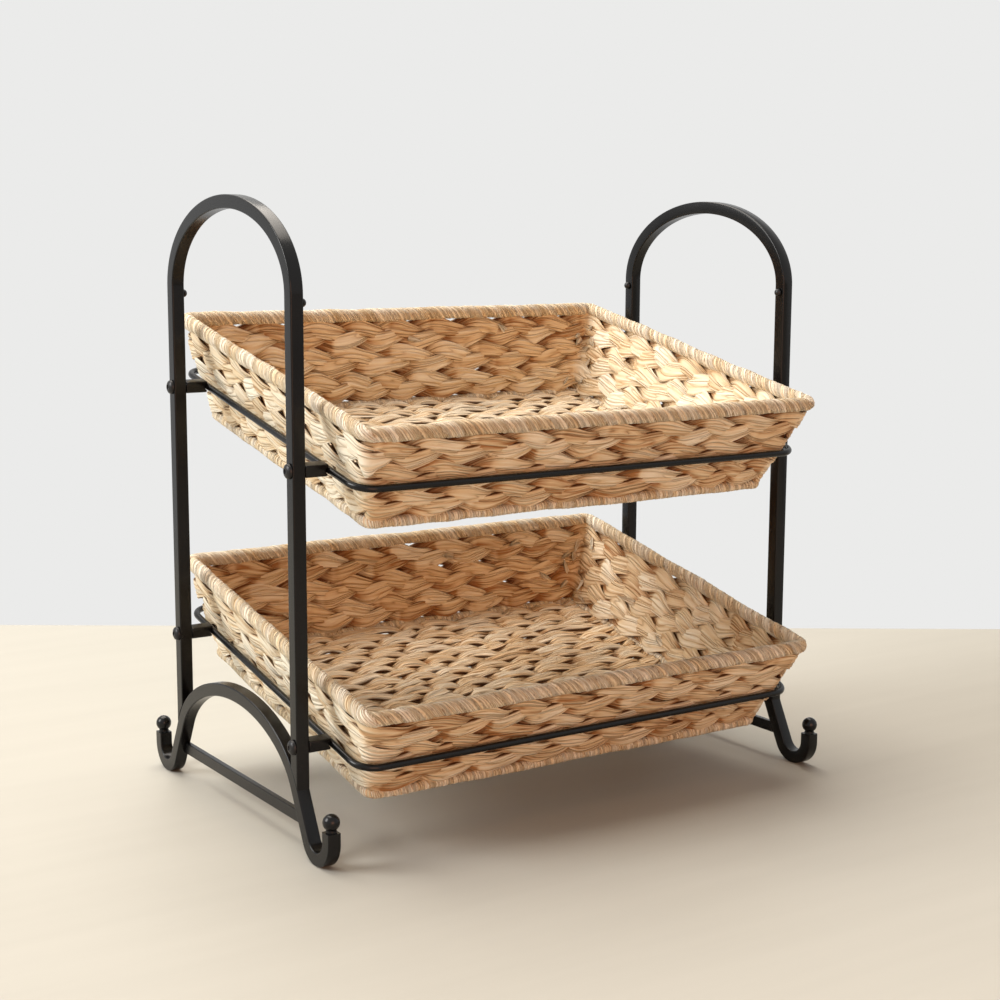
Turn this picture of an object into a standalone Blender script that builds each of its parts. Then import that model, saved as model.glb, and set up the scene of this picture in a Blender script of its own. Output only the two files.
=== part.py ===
# Two-tier stacking display rack. Two black steel side frames stand on scrolled feet and carry
# two tilted wire rings. A plaited leaf basket sits in each ring and lifts out of it.
# Metres. +X runs along the rack, -Y faces the shopper, +Z is up. The origin is the middle of
# the rack's box, on the surface that the feet stand on.

import math

import bpy
import bmesh
from mathutils import Matrix, Vector

# Side frames, bent from square bar
FRAME_SPACING = 0.400            # between the centre planes of the two side frames
BAR = 0.009                      # side of the square bar
BAR_EDGE_RADIUS = 0.0006         # rolled edge of the bar
UPRIGHT_SPACING = 0.180          # between the centre lines of one frame's uprights
ARCH_SPRING_REACH = 0.0895       # from the upper ring's middle up to where the uprights bend
ARCH_RISE = 0.057                # from there to the top arch's centre line at its top

# Base of each side frame: a low arch, two splayed legs and two upturned feet in one bar
BASE_APEX_HEIGHT = 0.0835        # centre line at the top of the low arch
BASE_ARCH_RISE = 0.0565          # half height of the ellipse that the arch follows
BASE_ARCH_OUTSET = 0.0029        # by which the ellipse is wider than the uprights' centre lines
LEG_SPLAY = math.radians(27)     # legs, measured from the vertical
FOOT_RADIUS = 0.0140             # centre line of the upturned foot
FOOT_TIP_HEIGHT = 0.0253         # end face of the bar, under the ball
FOOT_FLAT_ANGLE = math.radians(12)  # arc of the foot that is one flat, where it stands

# Balls on the ends of the feet
BALL_RADIUS = 0.0055
BALL_NECK_RADIUS = 0.0030
BALL_NECK_LENGTH = 0.0004
BALL_COLLAR_RADIUS = 0.0036
BALL_COLLAR_HEIGHT = 0.0012
BALL_PEG_RADIUS = 0.0018
BALL_PEG_LENGTH = 0.0050

# Flat cross bar between the two legs of a frame
CROSS_BAR_TOP = 0.0260
CROSS_BAR_HEIGHT = 0.0080
CROSS_BAR_THICKNESS = 0.0040

# Round-headed studs near the top of the uprights' inner faces
STUD_DROP = 0.005                # below the arch's spring
STUD_HEAD_RADIUS = 0.0028
STUD_HEAD_HEIGHT = 0.0027
STUD_STANDOFF = 0.0010
STUD_SHANK_RADIUS = 0.0013
STUD_SHANK_LENGTH = 0.0045

# Tiers: a wire ring on four arms that screw to the uprights
LOWER_TIER_RISE = 0.0050         # middle of the lower ring, above the low arch's centre line
TIER_SPACING = 0.176             # from the lower ring up to the upper ring
TIER_TILT = math.radians(12)     # front edge lower than the back edge
RING_FORWARD = 0.0025            # middle of the rings, in front of the frames' middle
ARM_REACH = 0.0170               # from an upright's inner face to the wire's centre line
RING_DEPTH = 0.2638              # between the centre lines of the ring's front and back wires
RING_CORNER_RADIUS = 0.014
WIRE_RADIUS = 0.0023
ARM_WIDTH = 0.0080
ARM_HEIGHT = 0.0080
ARM_EDGE_RADIUS = 0.0006
ARM_WRAP_SHARE = 0.4             # share of the wire's radius left free behind the arm's end

# Button-head screws through the uprights into the arms
SCREW_HEAD_RADIUS = 0.0049
SCREW_HEAD_HEIGHT = 0.0031
SCREW_HEAD_EDGE = 0.0006
SCREW_SHANK_RADIUS = 0.0025
SCREW_GRIP_IN_ARM = 0.0085
SOCKET_ACROSS_FLATS = 0.0030
SOCKET_DEPTH = 0.0017

# Baskets: a bound rim, a plaited wall, a plaited floor and a bound bottom edge
RIM_HEIGHT = 0.0369              # middle of the rim above the ring
BASKET_DROP = 0.0317             # underside of the basket below the ring
WALL_FLARE = math.radians(17.8)  # walls, measured from the ring's axis
WALL_THICKNESS = 0.0080
WALL_CORNER_RADIUS = 0.0095
WALL_END_PLAY = 0.0024           # spare length of the ring at each end of the basket
RIM_RADIUS = 0.0050
BASE_ROD_RADIUS = 0.0034
FLOOR_THICKNESS = 0.0065
PLAIT_GROOVE = 0.0020            # depth of the valley between two plaits
WALL_PLAITS = 3
FLOOR_PLAITS = 11

# Clearances
GAP = 0.0003                     # between pieces that touch or are welded
HOLE_CLEARANCE = 0.0003          # round a shank in its hole
OVERRUN = 0.002                  # by which a cutter passes the faces that it cuts

# Roundness of the curved forms
ARCH_STEPS = 22
BASE_ARCH_STEPS = 18
FOOT_STEPS = 6
CORNER_STEPS = 5
PLAIT_STEPS = 4
TURN_SEGMENTS = 16
HOLE_SEGMENTS = 12
DOME_STEPS = 4
BALL_STEPS = 7
TUBE_RESOLUTION = 3
SMOOTH_ANGLE = math.radians(40)

SIDES = {"left": -1, "right": 1}
ENDS = {"front": -1, "rear": 1}
LOWER_TIER_HEIGHT = BASE_APEX_HEIGHT + LOWER_TIER_RISE
TIERS = {"lower": LOWER_TIER_HEIGHT, "upper": LOWER_TIER_HEIGHT + TIER_SPACING}
ARCH_SPRING_HEIGHT = TIERS["upper"] + ARCH_SPRING_REACH

# Worked out from the values above
HALF_BAR = BAR / 2
QUARTER_TURN = math.pi / 2
UPRIGHT_Y = UPRIGHT_SPACING / 2
FRAME_X = FRAME_SPACING / 2
INNER_FACE_X = FRAME_X - HALF_BAR
STUD_HEIGHT = ARCH_SPRING_HEIGHT - STUD_DROP
RING_HALF_X = INNER_FACE_X - ARM_REACH
RING_HALF_Y = RING_DEPTH / 2

# The leg leaves the low arch where the ellipse is as steep as the leg
BASE_HALF_SPAN = UPRIGHT_Y + BASE_ARCH_OUTSET
BASE_ARCH_MIDDLE = BASE_APEX_HEIGHT - BASE_ARCH_RISE
LEG_START_ANGLE = math.atan(BASE_ARCH_RISE / BASE_HALF_SPAN * math.tan(LEG_SPLAY))
LEG_START_Y = BASE_HALF_SPAN * math.cos(LEG_START_ANGLE)
LEG_START_Z = BASE_ARCH_MIDDLE + BASE_ARCH_RISE * math.sin(LEG_START_ANGLE)
FOOT_Z = FOOT_RADIUS * math.cos(FOOT_FLAT_ANGLE / 2) + HALF_BAR
FOOT_Y = LEG_START_Y + (
    (FOOT_RADIUS + (LEG_START_Z - FOOT_Z) * math.sin(LEG_SPLAY)) / math.cos(LEG_SPLAY)
)
FOOT_TIP_Y = FOOT_Y + FOOT_RADIUS

# Outer face of the basket's wall where it passes through the ring
SEAT_REACH = (WIRE_RADIUS + GAP) / math.cos(WALL_FLARE)
WALL_HALF_Y = RING_HALF_Y - SEAT_REACH
WALL_HALF_X = RING_HALF_X - SEAT_REACH - WALL_END_PLAY
FLARE_SLOPE = math.tan(WALL_FLARE)
RIM_OUTSET = RIM_HEIGHT * FLARE_SLOPE - RIM_RADIUS
BASE_ROD_HEIGHT = BASE_ROD_RADIUS - BASKET_DROP
BASE_ROD_OUTSET = BASE_ROD_HEIGHT * FLARE_SLOPE - BASE_ROD_RADIUS
WALL_TOP = RIM_HEIGHT - RIM_RADIUS - GAP
WALL_BOTTOM = BASE_ROD_HEIGHT + BASE_ROD_RADIUS + GAP
FLOOR_TOP = WALL_BOTTOM - GAP
FLOOR_UNDERSIDE = FLOOR_TOP - FLOOR_THICKNESS

# The frames' middle stands where the whole rack's box is centred on Y
FRONT_REACH = (
    RING_FORWARD
    + RIM_HEIGHT * math.sin(TIER_TILT)
    + (WALL_HALF_Y + RIM_OUTSET) * math.cos(TIER_TILT)
    + RIM_RADIUS
)
REAR_REACH = FOOT_TIP_Y + BALL_RADIUS
FRAME_Y = (FRONT_REACH - REAR_REACH) / 2

# A frame's outline is drawn in X and Y, and this stands it up in Y and Z
OUTLINE_TO_YZ = Matrix(((0, 0, 1, 0), (1, 0, 0, 0), (0, 1, 0, 0), (0, 0, 0, 1)))


def linear(channel):
    """One sRGB channel as linear light."""
    if channel <= 0.04045:
        return channel / 12.92
    return ((channel + 0.055) / 1.055) ** 2.4


def material(name, colour, roughness, metallic):
    """A Principled material from an sRGB hex colour."""
    made = bpy.data.materials.new(name)
    made.use_nodes = True
    shader = made.node_tree.nodes["Principled BSDF"]
    channels = [int(colour[start:start + 2], 16) / 255 for start in (0, 2, 4)]
    shader.inputs["Base Color"].default_value = [linear(channel) for channel in channels] + [1]
    shader.inputs["Roughness"].default_value = roughness
    shader.inputs["Metallic"].default_value = metallic
    return made


def place(name, data, group, matrix=None, parent=None):
    """A new object in a collection, under a parent where it has one."""
    made = bpy.data.objects.new(name, data)
    group.objects.link(made)
    made.parent = parent
    made.matrix_local = matrix or Matrix.Identity(4)
    return made


def finish(piece, look):
    """A piece's material and its smooth shading."""
    piece.data.materials.clear()
    piece.data.materials.append(look)
    piece.data.shade_smooth()
    piece.data.set_sharp_from_angle(angle=SMOOTH_ANGLE)
    return piece


def guide(piece):
    """Marks a cutter, which isn't part of the rack."""
    piece.display_type = "WIRE"
    piece.hide_render = True
    return piece


def boolean(piece, cutter, operation="DIFFERENCE"):
    """A live Boolean with one cutter."""
    modifier = piece.modifiers.new(cutter.name, "BOOLEAN")
    modifier.operation = operation
    modifier.solver = "EXACT"
    modifier.object = cutter


def mesh_of_curve(name, curve, group, matrix=None, parent=None):
    """A curve's evaluated surface as a welded mesh object, in place of the curve."""
    bpy.context.view_layer.update()
    evaluated = curve.evaluated_get(bpy.context.evaluated_depsgraph_get())
    mesh = bpy.data.meshes.new_from_object(evaluated)
    work = bmesh.new()
    work.from_mesh(mesh)
    bmesh.ops.remove_doubles(work, verts=work.verts, dist=GAP / 10)
    bmesh.ops.dissolve_degenerate(work, edges=work.edges, dist=GAP / 10)
    bmesh.ops.recalc_face_normals(work, faces=work.faces)
    work.to_mesh(mesh)
    work.free()
    placed = place(name, mesh, group, (matrix or Matrix.Identity(4)) @ curve.matrix_world, parent)
    bpy.data.objects.remove(curve)
    return placed


def curve_object(name, points, group, closed, flat):
    """A POLY curve through points, in its own plane when it is flat."""
    curve = bpy.data.curves.new(name, "CURVE")
    curve.dimensions = "2D" if flat else "3D"
    spline = curve.splines.new("POLY")
    spline.points.add(len(points) - 1)
    for knot, point in zip(spline.points, points):
        knot.co = (*point, *(0 for _ in range(3 - len(point))), 1)
    spline.use_cyclic_u = closed
    return place(name + "_curve", curve, group)


def plate(name, outline, thickness, group, matrix=None, parent=None):
    """A flat closed outline with a thickness, which the matrix places."""
    curve = curve_object(name, outline, group, closed=True, flat=True)
    curve.data.fill_mode = "BOTH"
    curve.data.extrude = thickness / 2
    return mesh_of_curve(name, curve, group, matrix, parent)


def square_bar(name, path, group, matrix):
    """Square bar with rolled edges, bent along a flat path."""
    section = rounded_rectangle(HALF_BAR, HALF_BAR, BAR_EDGE_RADIUS, 1)
    profile = curve_object(name + "_section", section, group, closed=True, flat=True)
    bar = curve_object(name, path, group, closed=False, flat=True)
    bar.data.bevel_mode = "OBJECT"
    bar.data.bevel_object = profile
    bar.data.use_fill_caps = True
    bent = mesh_of_curve(name, bar, group, matrix)
    bpy.data.objects.remove(profile)
    return bent


def rod_loop(name, half_x, half_y, corner_radius, radius, height, group, parent):
    """A round rod bent into a rounded rectangle at a height on its parent."""
    path = rounded_rectangle(half_x, half_y, corner_radius, CORNER_STEPS)
    rod = curve_object(name, path, group, closed=True, flat=True)
    rod.data.bevel_depth = radius
    rod.data.bevel_resolution = TUBE_RESOLUTION
    rod.data.fill_mode = "NONE"
    return mesh_of_curve(name, rod, group, Matrix.Translation((0, 0, height)), parent)


def turned(name, profile, group, matrix):
    """A profile of radius and height, listed from the top down, turned about Z."""
    mesh = bpy.data.meshes.new(name)
    corners = [(radius, 0, height) for radius, height in profile]
    mesh.from_pydata(corners, [(i, i + 1) for i in range(len(corners) - 1)], [])
    piece = place(name, mesh, group, matrix)
    screw = piece.modifiers.new("turn", "SCREW")
    screw.axis = "Z"
    screw.steps = TURN_SEGMENTS
    screw.render_steps = TURN_SEGMENTS
    screw.use_merge_vertices = True
    screw.merge_threshold = GAP / 10
    screw.use_smooth_shade = True
    return piece


def drill(name, radius, length, group, matrix, segments=HOLE_SEGMENTS):
    """A cylinder about Z, centred on the matrix, whose flats clear the radius."""
    mesh = bpy.data.meshes.new(name)
    work = bmesh.new()
    reach = radius / math.cos(math.pi / segments)
    bmesh.ops.create_cone(
        work, cap_ends=True, segments=segments, radius1=reach, radius2=reach, depth=length
    )
    work.to_mesh(mesh)
    work.free()
    return guide(place(name, mesh, group, matrix))


def block(name, size, group, matrix):
    """A cuboid of a size, centred on the matrix."""
    mesh = bpy.data.meshes.new(name)
    work = bmesh.new()
    bmesh.ops.create_cube(work, size=1)
    bmesh.ops.scale(work, vec=size, verts=work.verts)
    work.to_mesh(mesh)
    work.free()
    return place(name, mesh, group, matrix)


def loft(name, loops, group, parent):
    """A closed skin through loops of like count, the last joined to the first."""
    work = bmesh.new()
    rings = [[work.verts.new(point) for point in loop] for loop in loops]
    for ring, following in zip(rings, rings[1:] + rings[:1]):
        for start in range(len(ring)):
            end = (start + 1) % len(ring)
            work.faces.new((ring[start], ring[end], following[end], following[start]))
    bmesh.ops.recalc_face_normals(work, faces=work.faces)
    mesh = bpy.data.meshes.new(name)
    work.to_mesh(mesh)
    work.free()
    return place(name, mesh, group, None, parent)


def rounded_rectangle(half_x, half_y, radius, steps):
    """Points of a rounded rectangle, anticlockwise from the end of its right side."""
    points = []
    for corner, (side_x, side_y) in enumerate(((1, 1), (-1, 1), (-1, -1), (1, -1))):
        for step in range(steps + 1):
            angle = (corner + step / steps) * QUARTER_TURN
            x = side_x * (half_x - radius) + radius * math.cos(angle)
            y = side_y * (half_y - radius) + radius * math.sin(angle)
            points.append((x, y))
    return points


def arc(centre, radius, start, end, steps):
    """Points of an arc in a frame's plane."""
    angles = [start + (end - start) * step / steps for step in range(steps + 1)]
    return [
        (centre[0] + radius * math.cos(angle), centre[1] + radius * math.sin(angle))
        for angle in angles
    ]


def mirrored(points):
    """A half path followed by its mirror image, sharing the point on the middle line."""
    return points + [(-y, z) for y, z in reversed(points[:-1])]


def arch_path():
    """Centre line of the uprights and the top arch, from one lower end to the other."""
    half = [(UPRIGHT_Y, LEG_START_Z - BAR)]
    for step in range(ARCH_STEPS // 2 + 1):
        angle = QUARTER_TURN * step / (ARCH_STEPS // 2)
        height = ARCH_SPRING_HEIGHT + ARCH_RISE * math.sin(angle)
        half.append((UPRIGHT_Y * math.cos(angle), height))
    return mirrored(half)


def low_arch_half():
    """Centre line of the low arch from the top of a leg to the middle."""
    steps = BASE_ARCH_STEPS // 2
    half = []
    for step in range(steps + 1):
        angle = LEG_START_ANGLE + (QUARTER_TURN - LEG_START_ANGLE) * step / steps
        height = BASE_ARCH_MIDDLE + BASE_ARCH_RISE * math.sin(angle)
        half.append((BASE_HALF_SPAN * math.cos(angle), height))
    return half


def base_path():
    """Centre line of a base, from one foot's tip to the other."""
    centre = (FOOT_Y, FOOT_Z)
    half_flat = FOOT_FLAT_ANGLE / 2
    half = [(FOOT_TIP_Y, FOOT_TIP_HEIGHT)]
    half += arc(centre, FOOT_RADIUS, 0, half_flat - QUARTER_TURN, FOOT_STEPS)
    half += arc(centre, FOOT_RADIUS, -half_flat - QUARTER_TURN, LEG_SPLAY - math.pi, FOOT_STEPS)
    return mirrored(half + low_arch_half())


def offset_path(points, distance):
    """An open path moved sideways, to the right of its direction."""
    moved = []
    for index, (y, z) in enumerate(points):
        before = points[max(index - 1, 0)]
        after = points[min(index + 1, len(points) - 1)]
        along = Vector((after[0] - before[0], after[1] - before[1])).normalized()
        moved.append((y + along.y * distance, z - along.x * distance))
    return moved


def dome(radius, edge, height):
    """Profile of a domed head, from its middle to its edge."""
    angles = [QUARTER_TURN * step / DOME_STEPS for step in range(DOME_STEPS + 1)]
    return [
        (radius * math.sin(angle), edge + (height - edge) * math.cos(angle)) for angle in angles
    ]


def ball_profile():
    """Ball, neck, collar and peg of a foot, about the ball's middle."""
    neck_angle = math.pi - math.asin(BALL_NECK_RADIUS / BALL_RADIUS)
    angles = [neck_angle * step / BALL_STEPS for step in range(BALL_STEPS + 1)]
    profile = [(BALL_RADIUS * math.sin(angle), BALL_RADIUS * math.cos(angle)) for angle in angles]
    collar_top = profile[-1][1] - BALL_NECK_LENGTH
    seat = collar_top - BALL_COLLAR_HEIGHT
    profile += [
        (BALL_NECK_RADIUS, collar_top),
        (BALL_COLLAR_RADIUS, collar_top),
        (BALL_COLLAR_RADIUS, seat),
        (BALL_PEG_RADIUS, seat),
        (BALL_PEG_RADIUS, seat - BALL_PEG_LENGTH),
        (0, seat - BALL_PEG_LENGTH),
    ]
    return profile, seat


def stud_profile():
    """Head and shank of a stud, about the face that it stands on."""
    head = dome(STUD_HEAD_RADIUS, STUD_STANDOFF, STUD_STANDOFF + STUD_HEAD_HEIGHT)
    return head + [
        (STUD_SHANK_RADIUS, STUD_STANDOFF),
        (STUD_SHANK_RADIUS, -STUD_SHANK_LENGTH),
        (0, -STUD_SHANK_LENGTH),
    ]


def screw_profile():
    """Button head and shank of a screw, about the underside of its head."""
    shank_end = -(GAP + BAR + GAP + SCREW_GRIP_IN_ARM)
    return dome(SCREW_HEAD_RADIUS, SCREW_HEAD_EDGE, SCREW_HEAD_HEIGHT) + [
        (SCREW_HEAD_RADIUS, 0),
        (SCREW_SHANK_RADIUS, 0),
        (SCREW_SHANK_RADIUS, shank_end),
        (0, shank_end),
    ]


def crossing_height(tier_height, end):
    """Height at which a ring's plane crosses an upright's centre line."""
    return tier_height + (end * UPRIGHT_Y + RING_FORWARD) * math.tan(TIER_TILT)


def plait_valley(share):
    """How far a plait's face falls back, at a share of its width from its edge."""
    from_middle = 2 * share - 1
    return PLAIT_GROOVE * from_middle * from_middle


def wall_section():
    """Closed profile of the wall: outset from the wall's face at the ring, height, inner or not."""
    height = WALL_TOP - WALL_BOTTOM
    outer = []
    for step in range(WALL_PLAITS * PLAIT_STEPS + 1):
        share = (step % PLAIT_STEPS) / PLAIT_STEPS
        level = WALL_BOTTOM + height * step / (WALL_PLAITS * PLAIT_STEPS)
        outer.append((level * FLARE_SLOPE, level, plait_valley(share)))
    face = [(outset - valley, level, False) for outset, level, valley in outer]
    back = [(outset - WALL_THICKNESS + valley, level, True) for outset, level, valley in outer]
    return face + back[::-1]


def floor_outline(half_depth):
    """Side view of the floor's plaits, over Y and height."""
    steps = FLOOR_PLAITS * PLAIT_STEPS
    top = []
    underside = []
    for step in range(steps + 1):
        y = half_depth * (2 * step / steps - 1)
        valley = plait_valley((step % PLAIT_STEPS) / PLAIT_STEPS)
        top.append((y, FLOOR_TOP - valley))
        underside.append((y, FLOOR_UNDERSIDE + valley))
    return underside + top[::-1]


def make_side_frame(side_name, parts, cutters, steel, screw_steel):
    """One side frame: arch, base, cross bar, balls and studs."""
    side = SIDES[side_name]
    frame = Matrix.Translation((side * FRAME_X, FRAME_Y, 0)) @ OUTLINE_TO_YZ
    inward = Matrix.Rotation(-side * QUARTER_TURN, 4, "Y")

    arch = finish(square_bar(side_name + "_arch_frame", arch_path(), parts, frame), steel)
    leg_foot = (FOOT_Y - FOOT_RADIUS * math.cos(LEG_SPLAY), FOOT_Z - FOOT_RADIUS * math.sin(LEG_SPLAY))
    outline = offset_path(mirrored([leg_foot] + low_arch_half()), HALF_BAR + GAP)
    cope = plate(side_name + "_cope", outline, BAR + OVERRUN, cutters, frame)
    boolean(arch, guide(cope))

    base = finish(square_bar(side_name + "_base_scroll", base_path(), parts, frame), steel)
    ball, seat = ball_profile()
    for end_name, end in ENDS.items():
        tip_y = FRAME_Y + end * FOOT_TIP_Y
        centre = Matrix.Translation((side * FRAME_X, tip_y, FOOT_TIP_HEIGHT + GAP - seat))
        finish(turned(f"{side_name}_{end_name}_foot_ball", ball, parts, centre), steel)
        hole = Matrix.Translation((side * FRAME_X, tip_y, FOOT_TIP_HEIGHT))
        peg_hole = drill(
            f"{side_name}_{end_name}_peg_hole",
            BALL_PEG_RADIUS + HOLE_CLEARANCE,
            2 * (BALL_PEG_LENGTH + HOLE_CLEARANCE),
            cutters,
            hole,
        )
        boolean(base, peg_hole)

        upright_y = FRAME_Y + end * UPRIGHT_Y
        face = Matrix.Translation((side * INNER_FACE_X, upright_y, STUD_HEIGHT)) @ inward
        finish(turned(f"{side_name}_{end_name}_stud", stud_profile(), parts, face), screw_steel)
        stud_hole = drill(
            f"{side_name}_{end_name}_stud_hole",
            STUD_SHANK_RADIUS + HOLE_CLEARANCE,
            2 * (STUD_SHANK_LENGTH + HOLE_CLEARANCE),
            cutters,
            face,
        )
        boolean(arch, stud_hole)

    lean = math.tan(LEG_SPLAY)
    reach = LEG_START_Y + LEG_START_Z * lean - (HALF_BAR + GAP) / math.cos(LEG_SPLAY)
    levels = (CROSS_BAR_TOP - CROSS_BAR_HEIGHT, CROSS_BAR_TOP)
    ends = [(reach - level * lean, level) for level in levels]
    outline = ends + [(-y, z) for y, z in reversed(ends)]
    bar_x = side * (INNER_FACE_X + CROSS_BAR_THICKNESS / 2)
    bar_place = Matrix.Translation((bar_x, FRAME_Y, 0)) @ OUTLINE_TO_YZ
    bar = plate(side_name + "_cross_bar", outline, CROSS_BAR_THICKNESS, parts, bar_place)
    finish(bar, steel)
    return arch


def make_tier(tier_name, arches, parts, cutters, steel, screw_steel):
    """One ring with its arms and screws."""
    height = TIERS[tier_name]
    tilt = Matrix.Rotation(TIER_TILT, 4, "X")
    middle = Matrix.Translation((0, FRAME_Y - RING_FORWARD, height)) @ tilt
    ring = rod_loop(
        tier_name + "_ring", RING_HALF_X, RING_HALF_Y, RING_CORNER_RADIUS, WIRE_RADIUS, 0, parts, None
    )
    ring.matrix_world = middle
    finish(ring, steel)

    arm_outer_x = INNER_FACE_X - GAP
    arm_inner_x = RING_HALF_X + WIRE_RADIUS * ARM_WRAP_SHARE
    arm_length = arm_outer_x - arm_inner_x
    groove_turn = Matrix.Rotation(QUARTER_TURN, 4, "X")
    for side_name, side in SIDES.items():
        for end_name, end in ENDS.items():
            name = f"{tier_name}_{side_name}_{end_name}"
            level = crossing_height(height, end)
            upright_y = FRAME_Y + end * UPRIGHT_Y
            arm_x = side * (arm_outer_x + arm_inner_x) / 2
            arm_place = Matrix.Translation((arm_x, upright_y, level)) @ tilt
            arm = block(name + "_arm", (arm_length, ARM_WIDTH, ARM_HEIGHT), parts, arm_place)
            finish(arm, steel)
            edges = arm.modifiers.new("edges", "BEVEL")
            edges.width = ARM_EDGE_RADIUS
            edges.segments = 1
            groove_place = Matrix.Translation((side * RING_HALF_X, upright_y, level)) @ tilt
            groove = drill(
                name + "_groove",
                WIRE_RADIUS + GAP,
                ARM_WIDTH + 2 * OVERRUN,
                cutters,
                groove_place @ groove_turn,
            )
            boolean(arm, groove)

            outward = Matrix.Rotation(side * QUARTER_TURN, 4, "Y")
            head_x = side * (FRAME_X + HALF_BAR + GAP)
            head_place = Matrix.Translation((head_x, upright_y, level)) @ outward
            screw = finish(turned(name + "_screw", screw_profile(), parts, head_place), screw_steel)
            socket_place = head_place @ Matrix.Translation((0, 0, SCREW_HEAD_HEIGHT))
            socket = drill(
                name + "_socket",
                SOCKET_ACROSS_FLATS / 2,
                2 * SOCKET_DEPTH,
                cutters,
                socket_place,
                segments=6,
            )
            boolean(screw, socket)
            hole_end = arm_outer_x - SCREW_GRIP_IN_ARM - HOLE_CLEARANCE
            hole_start = FRAME_X + HALF_BAR + OVERRUN
            hole_x = side * (hole_start + hole_end) / 2
            hole = drill(
                name + "_hole",
                SCREW_SHANK_RADIUS + HOLE_CLEARANCE,
                hole_start - hole_end,
                cutters,
                Matrix.Translation((hole_x, upright_y, level)) @ outward,
            )
            boolean(arches[side_name], hole)
            boolean(arm, hole)


def make_basket(tier_name, parts, cutters, looks):
    """One basket, modelled about its ring's middle and tilted with the ring."""
    lift = place(tier_name + "_basket_lift", None, parts)
    tilt = Matrix.Rotation(TIER_TILT, 4, "X")
    lift.matrix_world = (
        Matrix.Translation((0, FRAME_Y - RING_FORWARD, TIERS[tier_name])) @ tilt
    )
    name = tier_name + "_basket"

    rim = rod_loop(
        name + "_rim",
        WALL_HALF_X + RIM_OUTSET,
        WALL_HALF_Y + RIM_OUTSET,
        WALL_CORNER_RADIUS - RIM_RADIUS / 2,
        RIM_RADIUS,
        RIM_HEIGHT,
        parts,
        lift,
    )
    finish(rim, looks["rim"])

    loops = []
    for outset, level, inner in wall_section():
        radius = WALL_CORNER_RADIUS - WALL_THICKNESS if inner else WALL_CORNER_RADIUS
        half_x = WALL_HALF_X + outset
        half_y = WALL_HALF_Y + outset
        path = rounded_rectangle(half_x, half_y, radius, CORNER_STEPS)
        loops.append([(x, y, level) for x, y in path])
    finish(loft(name + "_wall", loops, parts, lift), looks["wall"])

    rod_half_x = WALL_HALF_X + BASE_ROD_OUTSET
    rod_half_y = WALL_HALF_Y + BASE_ROD_OUTSET
    rod_corner = WALL_CORNER_RADIUS - BASE_ROD_RADIUS
    base_rod = rod_loop(
        name + "_base_rod",
        rod_half_x,
        rod_half_y,
        rod_corner,
        BASE_ROD_RADIUS,
        BASE_ROD_HEIGHT,
        parts,
        lift,
    )
    finish(base_rod, looks["rim"])

    inset = BASE_ROD_RADIUS + GAP
    floor_x = rod_half_x - inset
    floor_y = rod_half_y - inset
    outline = floor_outline(floor_y)
    floor = plate(name + "_floor", outline, 2 * floor_x, parts, OUTLINE_TO_YZ, lift)
    finish(floor, looks["floor"])
    shape = rounded_rectangle(floor_x, floor_y, rod_corner - inset, CORNER_STEPS)
    trim_place = Matrix.Translation((0, 0, FLOOR_TOP - FLOOR_THICKNESS / 2))
    trim = plate(
        name + "_floor_trim", shape, FLOOR_THICKNESS + 2 * OVERRUN, cutters, trim_place, lift
    )
    boolean(floor, guide(trim), "INTERSECT")


def main():
    for thing in list(bpy.data.objects):
        bpy.data.objects.remove(thing)
    parts = bpy.data.collections.new("display_rack")
    cutters = bpy.data.collections.new("cutters")
    for group in (parts, cutters):
        bpy.context.scene.collection.children.link(group)

    steel = material("black_powder_coated_steel", "232323", 0.42, 0.0)
    screw_steel = material("black_oxide_steel", "1b1b1c", 0.35, 0.6)
    looks = {
        "rim": material("wound_dried_leaf", "d9bd8a", 0.7, 0.0),
        "wall": material("plaited_dried_leaf", "d2b07c", 0.75, 0.0),
        "floor": material("plaited_leaf_floor", "cfae78", 0.75, 0.0),
    }

    arches = {}
    for side_name in SIDES:
        arches[side_name] = make_side_frame(side_name, parts, cutters, steel, screw_steel)
    for tier_name in TIERS:
        make_tier(tier_name, arches, parts, cutters, steel, screw_steel)
        make_basket(tier_name, parts, cutters, looks)


main()
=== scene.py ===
"""Looks of a two-tier countertop rack: black steel side frames and rings, plaited leaf baskets."""

from math import cos, pi, radians, sin, tan

import bpy
import numpy as np
from bpy.props import FloatProperty, FloatVectorProperty, IntProperty, PointerProperty
from mathutils import Matrix, Vector


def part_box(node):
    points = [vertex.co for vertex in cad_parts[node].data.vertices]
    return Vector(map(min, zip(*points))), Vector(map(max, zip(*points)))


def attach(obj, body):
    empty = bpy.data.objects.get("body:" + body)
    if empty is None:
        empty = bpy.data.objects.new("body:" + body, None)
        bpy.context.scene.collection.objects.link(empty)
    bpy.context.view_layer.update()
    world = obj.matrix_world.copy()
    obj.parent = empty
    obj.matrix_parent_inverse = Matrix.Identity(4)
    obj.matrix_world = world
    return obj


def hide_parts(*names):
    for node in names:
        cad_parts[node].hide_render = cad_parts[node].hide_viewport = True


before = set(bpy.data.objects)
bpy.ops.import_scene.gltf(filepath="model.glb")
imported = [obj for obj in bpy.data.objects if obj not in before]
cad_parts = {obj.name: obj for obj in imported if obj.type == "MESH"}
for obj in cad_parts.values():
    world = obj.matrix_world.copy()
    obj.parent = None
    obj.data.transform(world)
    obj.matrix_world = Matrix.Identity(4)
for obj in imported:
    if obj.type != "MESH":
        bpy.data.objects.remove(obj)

bl_info = {
    "name": "Two-tier basket rack",
    "version": (1, 0, 0),
    "blender": (4, 5, 0),
    "location": "3D View > Sidebar > Rack",
    "description": "Builds the visible pieces of a steel countertop rack with two plaited baskets",
    "category": "Object",
}

MM = 0.001
CORNERS = ("left_front", "left_rear", "right_front", "right_rear")
X_AXIS = np.array([1.0, 0.0, 0.0])
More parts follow.
